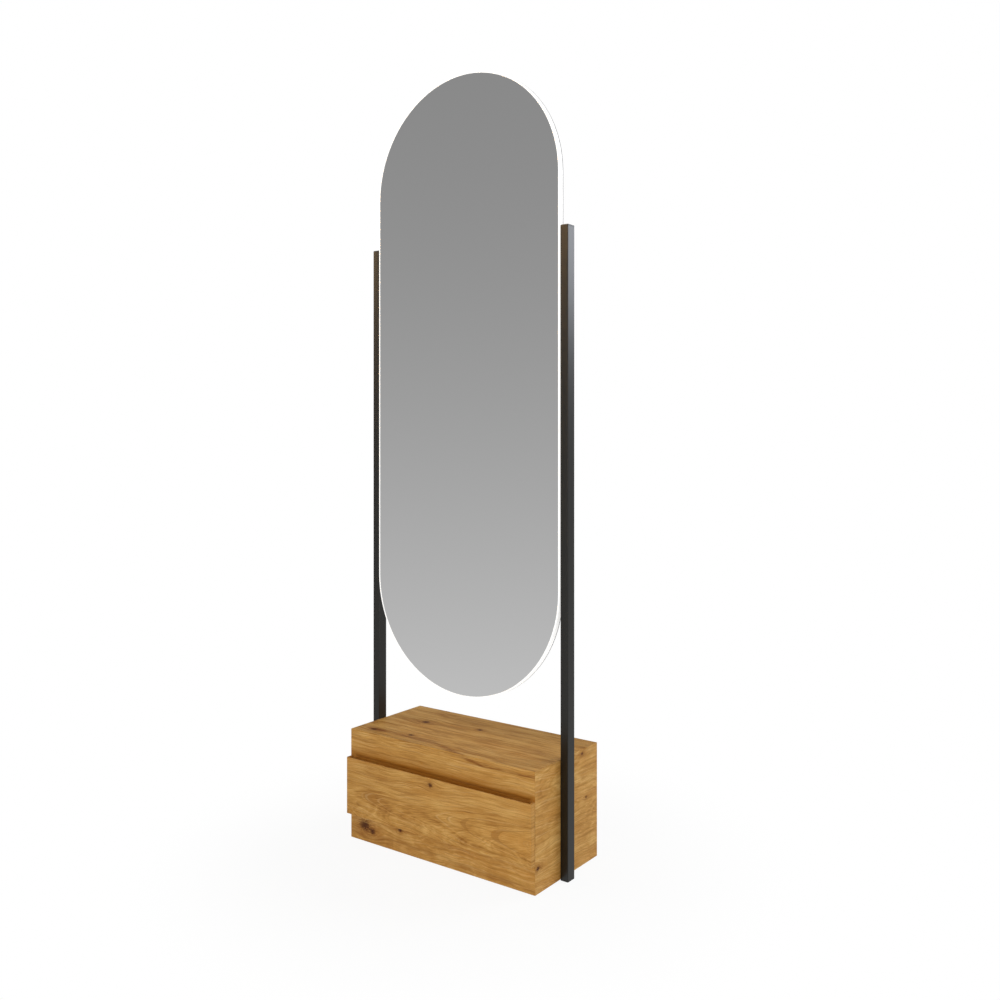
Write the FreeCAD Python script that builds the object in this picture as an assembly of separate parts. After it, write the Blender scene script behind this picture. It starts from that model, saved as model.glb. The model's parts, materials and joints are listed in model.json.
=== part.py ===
import FreeCAD, Part
import math
import os

# Standing mirror: a pill-shaped lit mirror that tilts between two steel posts.
# The posts are bolted to the ends of a low oak-veneered cabinet with one drawer.
# Millimetres, +X to the right, +Y to the back, +Z up.
# The origin lies on the floor, under the middle of the overall box.

# Cabinet carcass, boards mitred at the top and front corners
CABINET_WIDTH = 600.0
CARCASS_HEIGHT = 292.5
BOARD = 16.0
BACK_THICKNESS = 8.0
BACK_REBATE = 8.0
BACK_PLAY = 0.5
SPLINE_THICKNESS = 4.0
SPLINE_WIDTH = 13.0
SPLINE_INSET = 9.0
SPLINE_END = 12.0
DOWEL_DIAMETER = 8.0
DOWEL_IN_SIDE = 10.0
DOWEL_IN_BOTTOM = 22.0
DOWEL_END = 50.0
DOWELS_PER_SIDE = 3
GLIDE_DIAMETER = 25.0
GLIDE_HEIGHT = 2.0
GLIDE_INSET = 40.0
GROMMET_BORE = 20.0
GROMMET_WALL = 2.5
GROMMET_FLANGE = 4.0
GROMMET_FLANGE_THICKNESS = 2.0
GROMMET_ABOVE_BOTTOM = 35.0

# Drawer
FRONT_THICKNESS = 16.0
FRONT_BOTTOM = 71.0
FRONT_HEIGHT = 151.0
RAIL_OVERLAP = 24.0
FINGER_LIP = 3.0
FINGER_DEPTH = 14.0
FINGER_RADIUS = 4.0
FINGER_END = 6.0
SCOOP_DEPTH = 7.0
SCOOP_ABOVE = 14.0
SCOOP_ROLL = 25.0
SCOOP_CREASE = 6.0
SCOOP_END = 5.0
BUMPER_DIAMETER = 8.0
BUMPER_THICKNESS = 0.5
BUMPER_INSET = 25.0
BUMPER_FROM_OPENING = 5.0
BOX_BOARD = 12.0
BOX_PAST_RUNNER = 2.0
BOX_HEIGHT = 90.0
BOX_ABOVE_OPENING = 4.0
BOX_BOTTOM_THICKNESS = 6.0
BOX_BOTTOM_RISE = 10.0
BOX_GROOVE = 6.0
BOX_BOTTOM_PLAY = 0.3

# Ball-bearing drawer runners with three nested members on each side
RUNNER_LENGTH = 250.0
RUNNER_SETBACK = 2.0
RUNNER_HEIGHT = 45.0
RUNNER_THICKNESS = 12.7
RUNNER_ABOVE_BOX = 41.0
RUNNER_SHEET = 1.2
RUNNER_WEB_GAP = 1.1
RUNNER_TIP_GAP = 0.4
OUTER_MEMBER_DEPTH = 9.5
INNER_MEMBER_DEPTH = 7.2
BALL_DIAMETER = 2.7
BALL_PLAY = 0.3
BALLS_PER_ROW = 3
LIP_PLAY = 0.8
CAGE_SHEET = 0.5
CAGE_LENGTH = 115.0
CAGE_END = 6.0
CAGE_REACH = 2.2
CAGE_BALL_PLAY = 0.1

# Posts, rectangular steel tube with plastic end caps
POST_WIDTH = 22.0
POST_DEPTH = 30.0
POST_WALL = 1.5
POST_CORNER = 1.5
LEAST_CORNER = 0.5
POST_HEIGHT = 1602.0
POST_SETBACK = 110.0
CAP_HEAD = 3.0
CAP_PLUG = 14.0
CAP_WALL = 2.5
CAP_PLAY = 0.1
POST_BOLT_LOW = 43.0
POST_BOLT_DROP = 28.0
POST_BOLT_DIAMETER = 6.0
POST_BOLT_PLAY = 0.2
POST_BOLT_HEAD = 11.0
POST_BOLT_HEAD_HEIGHT = 3.3
WASHER_DIAMETER = 14.0
WASHER_THICKNESS = 1.6
RIVET_NUT_DIAMETER = 9.0
RIVET_NUT_LENGTH = 13.0

# Mirror, a glass and a backing board inside a lit opal rim
MIRROR_ABOVE_CABINET = 108.0
MIRROR_HEIGHT = 1631.0
MIRROR_PROUD = 1.5
MIRROR_SIDE_GAP = 1.5
RIM_BORDER = 3.8
RIM_WALL = 1.6
GLASS_THICKNESS = 4.0
GLASS_PLAY = 0.3
BACKING_THICKNESS = 11.0
BACKING_UNDER_BORDER = 1.0
COVER_THICKNESS = 2.0
LED_STRIP_THICKNESS = 1.2
LED_STRIP_WIDTH = 8.0
LED_STRIP_GAP = 24.0
COVER_SCREW_INSET = 18.0
COVER_SCREWS_PER_END = 5
COVER_SCREW_SPREAD = 75.0
COVER_SCREW_SPACING = 240.0

# Tilting pivots, one through each post
PIVOT_ABOVE_CENTRE = 20.0
PIVOT_DIAMETER = 6.0
PIVOT_PLAY = 0.05
PIVOT_HEAD_DIAMETER = 10.0
PIVOT_HEAD_HEIGHT = 5.0
PIVOT_HEAD_PLAY = 0.3
PIVOT_HEAD_SEAT = 0.1
PIVOT_CAP_THICKNESS = 1.5
PIVOT_CAP_PLAY = 0.05
PIVOT_CAP_GAP = 0.3
PIVOT_SOCKET = 5.0
PIVOT_SOCKET_DEPTH = 2.5
BUSH_DIAMETER = 12.0
PIVOT_BLOCK_WIDTH = 45.0
PIVOT_BLOCK_HEIGHT = 60.0
PIVOT_BOSS_DIAMETER = 9.0
PIVOT_BOSS_PLAY = 0.2
PIVOT_THREAD = 34.0
FRICTION_WASHER_DIAMETER = 14.0
FRICTION_WASHER_PLAY = 0.05
BLOCK_SCREW_SPACING = 36.0

# Lighting driver behind the drawer
DRIVER_LENGTH = 140.0
DRIVER_HEIGHT = 40.0
DRIVER_DEPTH = 17.0
DRIVER_PLAY = 6.0
DRIVER_EAR = 14.0
DRIVER_EAR_THICKNESS = 2.0
DRIVER_ABOVE_BOTTOM = 95.0

# Countersunk screws: head diameter, shank diameter, head height, length
BACK_SCREW = (6.0, 3.0, 1.8, 25.0)
FRONT_SCREW = (8.0, 4.0, 2.5, 24.0)
CORNER_SCREW = (7.0, 3.5, 2.2, 35.0)
RUNNER_SCREW = (6.0, 3.5, 1.25, 11.0)
COVER_SCREW = (6.0, 3.0, 1.8, 11.0)
BLOCK_SCREW = (7.5, 4.0, 1.9, 10.0)
DRIVER_SCREW = (6.0, 3.0, 1.8, 8.0)
RECESS_LENGTH_SHARE = 0.56
RECESS_WIDTH_SHARE = 0.16
RECESS_DEPTH_SHARE = 0.8
BACK_SCREW_END = 60.0
CORNER_SCREW_LOW = 21.0
CORNER_SCREW_HIGH = 72.0
FRONT_SCREW_END = 60.0
RUNNER_SCREW_END = 35.0

# Places that follow from the sizes above
HALF_WIDTH = CABINET_WIDTH / 2
INSIDE = HALF_WIDTH - BOARD
FRONT_PROUD = FRONT_THICKNESS + BUMPER_THICKNESS
BOX_REACH = RUNNER_SETBACK + RUNNER_LENGTH + BOX_PAST_RUNNER
CARCASS_DEPTH = BOX_REACH + DRIVER_PLAY + DRIVER_DEPTH + BACK_THICKNESS
CARCASS_FRONT = (FRONT_PROUD - CARCASS_DEPTH) / 2
CARCASS_BACK = CARCASS_FRONT + CARCASS_DEPTH
BACK_FACE = CARCASS_BACK - BACK_THICKNESS
BACK_LAP_MIDDLE = (BACK_REBATE - BACK_PLAY) / 2
CARCASS_BOTTOM = GLIDE_HEIGHT
CARCASS_TOP = CARCASS_BOTTOM + CARCASS_HEIGHT
FLOOR_TOP = CARCASS_BOTTOM + BOARD
CEILING = CARCASS_TOP - BOARD
FRONT_TOP = FRONT_BOTTOM + FRONT_HEIGHT
OPENING_BOTTOM = FRONT_BOTTOM + RAIL_OVERLAP
OPENING_TOP = FRONT_TOP - RAIL_OVERLAP
FRONT_FACE = CARCASS_FRONT - FRONT_PROUD
FRONT_BACK = FRONT_FACE + FRONT_THICKNESS
BOX_HALF = INSIDE - RUNNER_THICKNESS
BOX_INSIDE = BOX_HALF - BOX_BOARD
BOX_BOTTOM = OPENING_BOTTOM + BOX_ABOVE_OPENING
BOX_TOP = BOX_BOTTOM + BOX_HEIGHT
BOX_BACK = CARCASS_FRONT + BOX_REACH
RUNNER_FRONT = CARCASS_FRONT + RUNNER_SETBACK
RUNNER_MIDDLE = BOX_BOTTOM + RUNNER_ABOVE_BOX
POST_FRONT = CARCASS_FRONT + POST_SETBACK
POST_MIDDLE = POST_FRONT + POST_DEPTH / 2
POST_BOLT_HEIGHTS = (POST_BOLT_LOW, CEILING - POST_BOLT_DROP)
RIM_HALF = HALF_WIDTH - MIRROR_SIDE_GAP
MIRROR_FRONT = POST_FRONT - MIRROR_PROUD
BACKING_FRONT = MIRROR_FRONT + GLASS_THICKNESS
COVER_FRONT = BACKING_FRONT + BACKING_THICKNESS
COVER_BACK = COVER_FRONT + COVER_THICKNESS
MIRROR_BOTTOM = CARCASS_TOP + MIRROR_ABOVE_CABINET
MIRROR_TOP = MIRROR_BOTTOM + MIRROR_HEIGHT
BACKING_INSET = RIM_BORDER - BACKING_UNDER_BORDER
BACKING_HALF = RIM_HALF - BACKING_INSET
PIVOT_Y = BACKING_FRONT + BACKING_THICKNESS / 2
PIVOT_Z = (MIRROR_BOTTOM + MIRROR_TOP) / 2 + PIVOT_ABOVE_CENTRE

TO_RIGHT = FreeCAD.Vector(1, 0, 0)
TO_LEFT = FreeCAD.Vector(-1, 0, 0)
TO_FRONT = FreeCAD.Vector(0, -1, 0)
TO_BACK = FreeCAD.Vector(0, 1, 0)
UP = FreeCAD.Vector(0, 0, 1)
CENTRE = FreeCAD.Vector(0, 0, 0)
CUT_OVER = 1.0


def block(x_span, y_span, z_span):
    """A box between the two ends of each span."""
    corner = FreeCAD.Vector(x_span[0], y_span[0], z_span[0])
    size = [span[1] - span[0] for span in (x_span, y_span, z_span)]
    return Part.makeBox(size[0], size[1], size[2], corner)


def rod(diameter, start, direction, length):
    """A round bar from a point along a direction."""
    return Part.makeCylinder(diameter / 2, length, start, direction)


def mitred(outer_corners, inner_corners):
    """A board whose outer face and smaller inner face are joined by sloping edges."""
    wires = [Part.makePolygon(list(corners) + [corners[0]]) for corners in (outer_corners, inner_corners)]
    return Part.makeLoft(wires, True, True)


def pill(inset, y_span):
    """A plate of the mirror's outline, two half circles joined by straight sides, drawn in by an inset."""
    radius = RIM_HALF - inset
    low = MIRROR_BOTTOM + RIM_HALF
    high = MIRROR_TOP - RIM_HALF

    def at(x, z):
        return FreeCAD.Vector(x, y_span[0], z)

    outline = Part.Wire([
        Part.LineSegment(at(radius, low), at(radius, high)).toShape(),
        Part.Arc(at(radius, high), at(0, high + radius), at(-radius, high)).toShape(),
        Part.LineSegment(at(-radius, high), at(-radius, low)).toShape(),
        Part.Arc(at(-radius, low), at(0, low - radius), at(radius, low)).toShape()])
    return Part.Face(outline).extrude(TO_BACK * (y_span[1] - y_span[0]))


def screw(size, head_point, direction):
    """A countersunk screw whose flat head lies at a point and whose pointed shank runs along a direction."""
    head, shank, head_height, length = size
    tip = length - shank
    profile = [(0, 0), (head / 2, 0), (shank / 2, head_height), (shank / 2, tip), (0, length)]
    corners = [FreeCAD.Vector(radius, 0, depth) for radius, depth in profile]
    solid = Part.Face(Part.makePolygon(corners + [corners[0]])).revolve(CENTRE, UP, 360)
    solid.Placement = FreeCAD.Placement(head_point, FreeCAD.Rotation(UP, direction))
    return solid


def spread(low, high, count):
    """Evenly spaced places from low to high."""
    return [low + (high - low) * index / (count - 1) for index in range(count)]


def mirrored(shape):
    """The same piece on the left side."""
    return shape.mirror(CENTRE, TO_RIGHT)


def pair(shape):
    """A piece and its left-hand twin."""
    return [shape, mirrored(shape)]


def without(shape, tools):
    """A piece with the room for others cut out of it."""
    return shape.cut(Part.makeCompound(list(tools)))


def save(name, *solids):
    """Writes one node, a single piece or a group of like pieces."""
    shape = solids[0] if len(solids) == 1 else Part.makeCompound(list(solids))
    shape.exportStep("parts/" + name + ".step")


def save_screws(name, size, screws):
    """Writes a group of screws, each with a cross recess sunk into its flat head."""
    head, head_height = size[0], size[2]
    half_length = head * RECESS_LENGTH_SHARE / 2
    half_width = head * RECESS_WIDTH_SHARE / 2
    depth = (0, head_height * RECESS_DEPTH_SHARE)
    recess = block((-half_length, half_length), (-half_width, half_width), depth)
    recess = recess.fuse(block((-half_width, half_width), (-half_length, half_length), depth))
    driven = []
    for solid in screws:
        flat = [face for face in solid.Faces if isinstance(face.Surface, Part.Plane)][0]
        inward = solid.CenterOfMass - flat.CenterOfMass
        recess.Placement = FreeCAD.Placement(flat.CenterOfMass, FreeCAD.Rotation(UP, inward))
        driven.append(solid.cut(recess))
    save(name, *driven)


def carcass_fasteners():
    """Loose tongues in the top mitres, dowels in the bottom board and screws round the back."""
    spline_y = (CARCASS_FRONT + BOARD + SPLINE_END, BACK_FACE - SPLINE_END)
    across = (-SPLINE_WIDTH / 2, SPLINE_WIDTH / 2)
    spline = block(across, spline_y, (-SPLINE_THICKNESS / 2, SPLINE_THICKNESS / 2))
    spline.rotate(CENTRE, TO_BACK, 45)
    spline.translate(FreeCAD.Vector(HALF_WIDTH - SPLINE_INSET, 0, CARCASS_TOP - SPLINE_INSET))
    dowels = []
    for y in spread(CARCASS_FRONT + DOWEL_END, CARCASS_BACK - DOWEL_END, DOWELS_PER_SIDE):
        start = FreeCAD.Vector(INSIDE - DOWEL_IN_BOTTOM, y, CARCASS_BOTTOM + BOARD / 2)
        dowels += pair(rod(DOWEL_DIAMETER, start, TO_RIGHT, DOWEL_IN_BOTTOM + DOWEL_IN_SIDE))
    back_screws = []
    for z in (FLOOR_TOP + BACK_SCREW_END, CEILING - BACK_SCREW_END):
        point = FreeCAD.Vector(INSIDE + BACK_LAP_MIDDLE, CARCASS_BACK, z)
        back_screws += pair(screw(BACK_SCREW, point, TO_FRONT))
    for z in (FLOOR_TOP - BACK_LAP_MIDDLE, CEILING + BACK_LAP_MIDDLE):
        point = FreeCAD.Vector(INSIDE - BACK_SCREW_END, CARCASS_BACK, z)
        back_screws += pair(screw(BACK_SCREW, point, TO_FRONT))
    return pair(spline), dowels, back_screws


def grommet_parts():
    """The cable grommet in the back panel and the room that it takes."""
    middle = FreeCAD.Vector(0, CARCASS_BACK, FLOOR_TOP + GROMMET_ABOVE_BOTTOM)
    sleeve = GROMMET_BORE + 2 * GROMMET_WALL
    flange = sleeve + 2 * GROMMET_FLANGE
    outside = rod(sleeve, middle, TO_FRONT, BACK_THICKNESS)
    outside = outside.fuse(rod(flange, middle, TO_FRONT, GROMMET_FLANGE_THICKNESS)).removeSplitter()
    return outside.cut(rod(GROMMET_BORE, middle, TO_FRONT, BACK_THICKNESS)), outside


def driver_parts():
    """The slim lighting driver on the back panel's inner face, with its two screws."""
    z_middle = FLOOR_TOP + DRIVER_ABOVE_BOTTOM
    z_span = (z_middle - DRIVER_HEIGHT / 2, z_middle + DRIVER_HEIGHT / 2)
    half = DRIVER_LENGTH / 2
    body = block((-half, half), (BACK_FACE - DRIVER_DEPTH, BACK_FACE), z_span)
    ear_face = BACK_FACE - DRIVER_EAR_THICKNESS
    foot = block((-half - DRIVER_EAR, half + DRIVER_EAR), (ear_face, BACK_FACE), z_span)
    point = FreeCAD.Vector(half + DRIVER_EAR / 2, ear_face, z_middle)
    screws = pair(screw(DRIVER_SCREW, point, TO_BACK))
    return without(body.fuse(foot).removeSplitter(), screws), screws


def post_parts():
    """The right post, its two plastic caps, and the bolts that hold it to the cabinet's side."""
    outer_x = (HALF_WIDTH, HALF_WIDTH + POST_WIDTH)
    outer_y = (POST_FRONT, POST_FRONT + POST_DEPTH)
    tube_z = (CAP_HEAD, POST_HEIGHT - CAP_HEAD)

    def section(inset, z_span, corner):
        x_span = (outer_x[0] + inset, outer_x[1] - inset)
        y_span = (outer_y[0] + inset, outer_y[1] - inset)
        bar = block(x_span, y_span, z_span)
        upright = [edge for edge in bar.Edges if edge.BoundBox.ZMin < edge.BoundBox.ZMax - CUT_OVER]
        return bar.makeFillet(corner, upright)

    inner_corner = max(POST_CORNER - POST_WALL, LEAST_CORNER)
    tube = section(0, tube_z, POST_CORNER).cut(section(POST_WALL, tube_z, inner_corner))
    plug_inset = POST_WALL + CAP_PLAY
    hollow_inset = plug_inset + CAP_WALL
    caps = []
    for head_z, plug_z in (((0, CAP_HEAD), (CAP_HEAD, CAP_HEAD + CAP_PLUG)),
                           ((tube_z[1], POST_HEIGHT), (tube_z[1] - CAP_PLUG, tube_z[1]))):
        plug = section(plug_inset, plug_z, inner_corner).cut(section(hollow_inset, plug_z, inner_corner))
        caps.append(section(0, head_z, POST_CORNER).fuse(plug).removeSplitter())
    bolts, washers, nuts = [], [], []
    for z in POST_BOLT_HEIGHTS:
        washer_end = FreeCAD.Vector(INSIDE - WASHER_THICKNESS, POST_MIDDLE, z)
        wall = FreeCAD.Vector(HALF_WIDTH, POST_MIDDLE, z)
        shank_length = WASHER_THICKNESS + BOARD + RIVET_NUT_LENGTH
        shank = rod(POST_BOLT_DIAMETER, washer_end, TO_RIGHT, shank_length)
        head = rod(POST_BOLT_HEAD, washer_end, TO_LEFT, POST_BOLT_HEAD_HEIGHT)
        crown = [edge for edge in head.Edges if edge.BoundBox.XMax < washer_end.x - POST_BOLT_HEAD_HEIGHT / 2]
        head = head.makeFillet(POST_BOLT_HEAD_HEIGHT / 2, crown)
        bolts.append(head.fuse(shank).removeSplitter())
        washer = rod(WASHER_DIAMETER, washer_end, TO_RIGHT, WASHER_THICKNESS)
        washers.append(washer.cut(shank))
        nuts.append(rod(RIVET_NUT_DIAMETER, wall, TO_RIGHT, RIVET_NUT_LENGTH).cut(shank))
    return tube, caps, bolts, washers, nuts


def bolt_rooms():
    """The clearance holes that the post bolts take through the cabinet's right side."""
    diameter = POST_BOLT_DIAMETER + 2 * POST_BOLT_PLAY
    return [rod(diameter, FreeCAD.Vector(INSIDE, POST_MIDDLE, z), TO_RIGHT, BOARD) for z in POST_BOLT_HEIGHTS]


def pivot_parts():
    """The right pivot: a bush in the post, a bolt that turns in it under a cap, a washer and a block."""
    post_outside = HALF_WIDTH + POST_WIDTH
    head_end = post_outside - PIVOT_CAP_THICKNESS - PIVOT_CAP_GAP
    head_seat = head_end - PIVOT_HEAD_HEIGHT - PIVOT_HEAD_SEAT

    def along(diameter, x_span):
        return rod(diameter, FreeCAD.Vector(x_span[0], PIVOT_Y, PIVOT_Z), TO_RIGHT, x_span[1] - x_span[0])

    envelope = along(BUSH_DIAMETER, (HALF_WIDTH, post_outside))
    bush = envelope.cut(along(PIVOT_DIAMETER + 2 * PIVOT_PLAY, (HALF_WIDTH, post_outside)))
    head_bore = PIVOT_HEAD_DIAMETER + 2 * PIVOT_HEAD_PLAY
    bush = bush.cut(along(head_bore, (head_seat, post_outside)))
    cap = along(head_bore - 2 * PIVOT_CAP_PLAY, (post_outside - PIVOT_CAP_THICKNESS, post_outside))
    thread_end = RIM_HALF - PIVOT_THREAD
    shank = along(PIVOT_DIAMETER, (thread_end, head_end - PIVOT_HEAD_HEIGHT))
    bolt = shank.fuse(along(PIVOT_HEAD_DIAMETER, (head_end - PIVOT_HEAD_HEIGHT, head_end)))
    socket = []
    for corner in range(6):
        angle = math.radians(60 * corner)
        reach = PIVOT_SOCKET / 2 / math.cos(math.radians(30))
        place = (head_end, PIVOT_Y + reach * math.cos(angle), PIVOT_Z + reach * math.sin(angle))
        socket.append(FreeCAD.Vector(place))
    hexagon = Part.Face(Part.makePolygon(socket + [socket[0]]))
    bolt = bolt.removeSplitter().cut(hexagon.extrude(TO_LEFT * PIVOT_SOCKET_DEPTH))
    washer_span = (RIM_HALF + FRICTION_WASHER_PLAY, HALF_WIDTH - FRICTION_WASHER_PLAY)
    washer = along(FRICTION_WASHER_DIAMETER, washer_span)
    washer = washer.cut(along(PIVOT_DIAMETER + 2 * PIVOT_BOSS_PLAY, (RIM_HALF, HALF_WIDTH)))
    half_height = PIVOT_BLOCK_HEIGHT / 2
    body = block((BACKING_HALF - PIVOT_BLOCK_WIDTH, BACKING_HALF), (BACKING_FRONT, COVER_FRONT),
                 (PIVOT_Z - half_height, PIVOT_Z + half_height))
    room = body.copy()
    boss_room = along(PIVOT_BOSS_DIAMETER + 2 * PIVOT_BOSS_PLAY, (BACKING_HALF, RIM_HALF))
    body = body.fuse(along(PIVOT_BOSS_DIAMETER, (BACKING_HALF, RIM_HALF))).removeSplitter().cut(shank)
    screws = []
    for z in (PIVOT_Z - BLOCK_SCREW_SPACING / 2, PIVOT_Z + BLOCK_SCREW_SPACING / 2):
        point = FreeCAD.Vector(BACKING_HALF - PIVOT_BLOCK_WIDTH / 2, COVER_BACK, z)
        screws.append(screw(BLOCK_SCREW, point, TO_FRONT))
    return envelope, bush, bolt, cap, washer, without(body, screws), room, boss_room, screws


def cover_screws():
    """Screws round the back cover: an arc of them at each end and two on each straight side."""
    radius = RIM_HALF - COVER_SCREW_INSET
    screws = []
    for centre_z, facing in ((MIRROR_TOP - RIM_HALF, 1), (MIRROR_BOTTOM + RIM_HALF, -1)):
        for angle in spread(-COVER_SCREW_SPREAD, COVER_SCREW_SPREAD, COVER_SCREWS_PER_END):
            x = radius * math.sin(math.radians(angle))
            z = centre_z + facing * radius * math.cos(math.radians(angle))
            screws.append(screw(COVER_SCREW, FreeCAD.Vector(x, COVER_BACK, z), TO_FRONT))
    for z in (PIVOT_Z - COVER_SCREW_SPACING, PIVOT_Z + COVER_SCREW_SPACING):
        screws += pair(screw(COVER_SCREW, FreeCAD.Vector(radius, COVER_BACK, z), TO_FRONT))
    return screws


def channel(web, tip, height, sheet, lip, y_span):
    """A runner member: a pressed channel with its web at one side and its flanges, which may end in lips."""
    inward = sheet if tip > web else -sheet
    half = height / 2
    rim = half - sheet
    upper = [(web, half), (tip, half)]
    if lip:
        upper += [(tip, rim - lip), (tip - inward, rim - lip), (tip - inward, rim)]
    else:
        upper += [(tip, rim)]
    upper += [(web + inward, rim)]
    outline = upper + [(u, -z) for u, z in reversed(upper)]
    corners = [FreeCAD.Vector(INSIDE - u, y_span[0], RUNNER_MIDDLE + z) for u, z in outline]
    face = Part.Face(Part.makePolygon(corners + [corners[0]]))
    return face.extrude(TO_BACK * (y_span[1] - y_span[0]))


def ball_cage(web, ball_u, ball_z):
    """A thin cage with a row of balls in its upper and in its lower flange, halfway along the runner."""
    middle = RUNNER_FRONT + RUNNER_LENGTH / 2
    y_span = (middle - CAGE_LENGTH / 2, middle + CAGE_LENGTH / 2)
    cage = channel(web, ball_u + CAGE_REACH, 2 * ball_z + CAGE_SHEET, CAGE_SHEET, 0, y_span)
    balls, rooms = [], []
    for y in spread(y_span[0] + CAGE_END, y_span[1] - CAGE_END, BALLS_PER_ROW):
        for z in (RUNNER_MIDDLE - ball_z, RUNNER_MIDDLE + ball_z):
            centre = FreeCAD.Vector(INSIDE - ball_u, y, z)
            balls.append(Part.makeSphere(BALL_DIAMETER / 2, centre))
            hole_start = centre - UP * CAGE_SHEET
            rooms.append(rod(BALL_DIAMETER + 2 * CAGE_BALL_PLAY, hole_start, UP, 2 * CAGE_SHEET))
    return [without(cage, rooms)] + balls


def runner_parts():
    """The right runner: outer member on the cabinet, middle, inner member on the drawer, and two cages."""
    y_span = (RUNNER_FRONT, RUNNER_FRONT + RUNNER_LENGTH)
    race = BALL_DIAMETER + 2 * BALL_PLAY
    step = 2 * (RUNNER_SHEET + race)
    lip = race - LIP_PLAY
    middle_web = RUNNER_SHEET + RUNNER_WEB_GAP
    middle_tip = RUNNER_THICKNESS - RUNNER_SHEET - RUNNER_TIP_GAP
    outer = channel(0, OUTER_MEMBER_DEPTH, RUNNER_HEIGHT, RUNNER_SHEET, lip, y_span)
    middle = channel(middle_web, middle_tip, RUNNER_HEIGHT - step, RUNNER_SHEET, lip, y_span)
    inner = channel(RUNNER_THICKNESS, RUNNER_THICKNESS - INNER_MEMBER_DEPTH, RUNNER_HEIGHT - 2 * step,
                    RUNNER_SHEET, 0, y_span)
    cage_gap = (RUNNER_WEB_GAP - CAGE_SHEET) / 2
    outer_ball_z = RUNNER_HEIGHT / 2 - RUNNER_SHEET - race / 2
    outer_cage = ball_cage(RUNNER_SHEET + cage_gap, OUTER_MEMBER_DEPTH / 2, outer_ball_z)
    inner_ball_u = (middle_web + middle_tip) / 2
    inner_cage = ball_cage(middle_web + RUNNER_SHEET + cage_gap, inner_ball_u, outer_ball_z - step / 2)
    cabinet_screws, drawer_screws = [], []
    for y in (y_span[0] + RUNNER_SCREW_END, y_span[1] - RUNNER_SCREW_END):
        web_face = FreeCAD.Vector(INSIDE - RUNNER_SHEET, y, RUNNER_MIDDLE)
        cabinet_screws.append(screw(RUNNER_SCREW, web_face, TO_RIGHT))
        web_face = FreeCAD.Vector(BOX_HALF + RUNNER_SHEET, y, RUNNER_MIDDLE)
        drawer_screws.append(screw(RUNNER_SCREW, web_face, TO_LEFT))
    outer = without(outer, cabinet_screws)
    inner = without(inner, drawer_screws)
    return outer, middle, inner, outer_cage, inner_cage, cabinet_screws, drawer_screws


def finger_groove():
    """The pull routed into the drawer front's top edge, behind a lip and open to the back."""
    x = HALF_WIDTH - FINGER_END
    lip = FRONT_FACE + FINGER_LIP
    floor = FRONT_TOP - FINGER_DEPTH
    past_back = FRONT_BACK + CUT_OVER
    past_top = FRONT_TOP + CUT_OVER
    round_top = floor + FINGER_RADIUS
    round_end = lip + FINGER_RADIUS
    bend = FINGER_RADIUS * (1 - math.cos(math.radians(45)))

    def at(y, z):
        return FreeCAD.Vector(-x, y, z)

    outline = Part.Wire([
        Part.LineSegment(at(lip, past_top), at(lip, round_top)).toShape(),
        Part.Arc(at(lip, round_top), at(lip + bend, floor + bend), at(round_end, floor)).toShape(),
        Part.LineSegment(at(round_end, floor), at(past_back, floor)).toShape(),
        Part.LineSegment(at(past_back, floor), at(past_back, past_top)).toShape(),
        Part.LineSegment(at(past_back, past_top), at(lip, past_top)).toShape()])
    return Part.Face(outline).extrude(TO_RIGHT * (2 * x))


def finger_scoop():
    """The shallow recess behind the pull, which rolls out to the rail's face above and at both ends."""
    end = HALF_WIDTH - SCOOP_END
    wall = CARCASS_FRONT + SCOOP_DEPTH
    past_front = CARCASS_FRONT - CUT_OVER
    floor = FRONT_TOP - FINGER_DEPTH
    top = FRONT_TOP + SCOOP_ABOVE
    crease = math.radians(SCOOP_CREASE)
    turn = math.acos(math.cos(crease) - SCOOP_DEPTH / SCOOP_ROLL)
    run_out = SCOOP_ROLL * (math.sin(turn) - math.sin(crease))

    def at(x, y, z):
        return FreeCAD.Vector(x, y, z)

    def roll(edge, inward):
        """The arc that leaves the face at edge and turns inwards until it is at full depth."""
        centre = edge + TO_BACK * (SCOOP_ROLL * math.cos(crease)) - inward * (SCOOP_ROLL * math.sin(crease))
        points = [centre + inward * (SCOOP_ROLL * math.sin(angle)) - TO_BACK * (SCOOP_ROLL * math.cos(angle))
                  for angle in (crease, (crease + turn) / 2, turn)]
        return Part.Arc(*points).toShape()

    profile = Part.Wire([roll(at(-end, CARCASS_FRONT, top), UP * -1)] + Part.makePolygon([
        at(-end, wall, top - run_out), at(-end, wall, floor), at(-end, past_front, floor),
        at(-end, past_front, top), at(-end, CARCASS_FRONT, top)]).Edges)
    plan = Part.Wire([
        roll(at(-end, CARCASS_FRONT, floor), TO_RIGHT),
        Part.makeLine(at(run_out - end, wall, floor), at(end - run_out, wall, floor)),
        roll(at(end, CARCASS_FRONT, floor), TO_LEFT)] + Part.makePolygon([
            at(end, CARCASS_FRONT, floor), at(end, past_front, floor),
            at(-end, past_front, floor), at(-end, CARCASS_FRONT, floor)]).Edges)
    lengthways = Part.Face(profile).extrude(TO_RIGHT * (2 * end))
    upwards = Part.Face(plan).extrude(UP * (top - floor))
    return lengthways.common(upwards)


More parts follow.
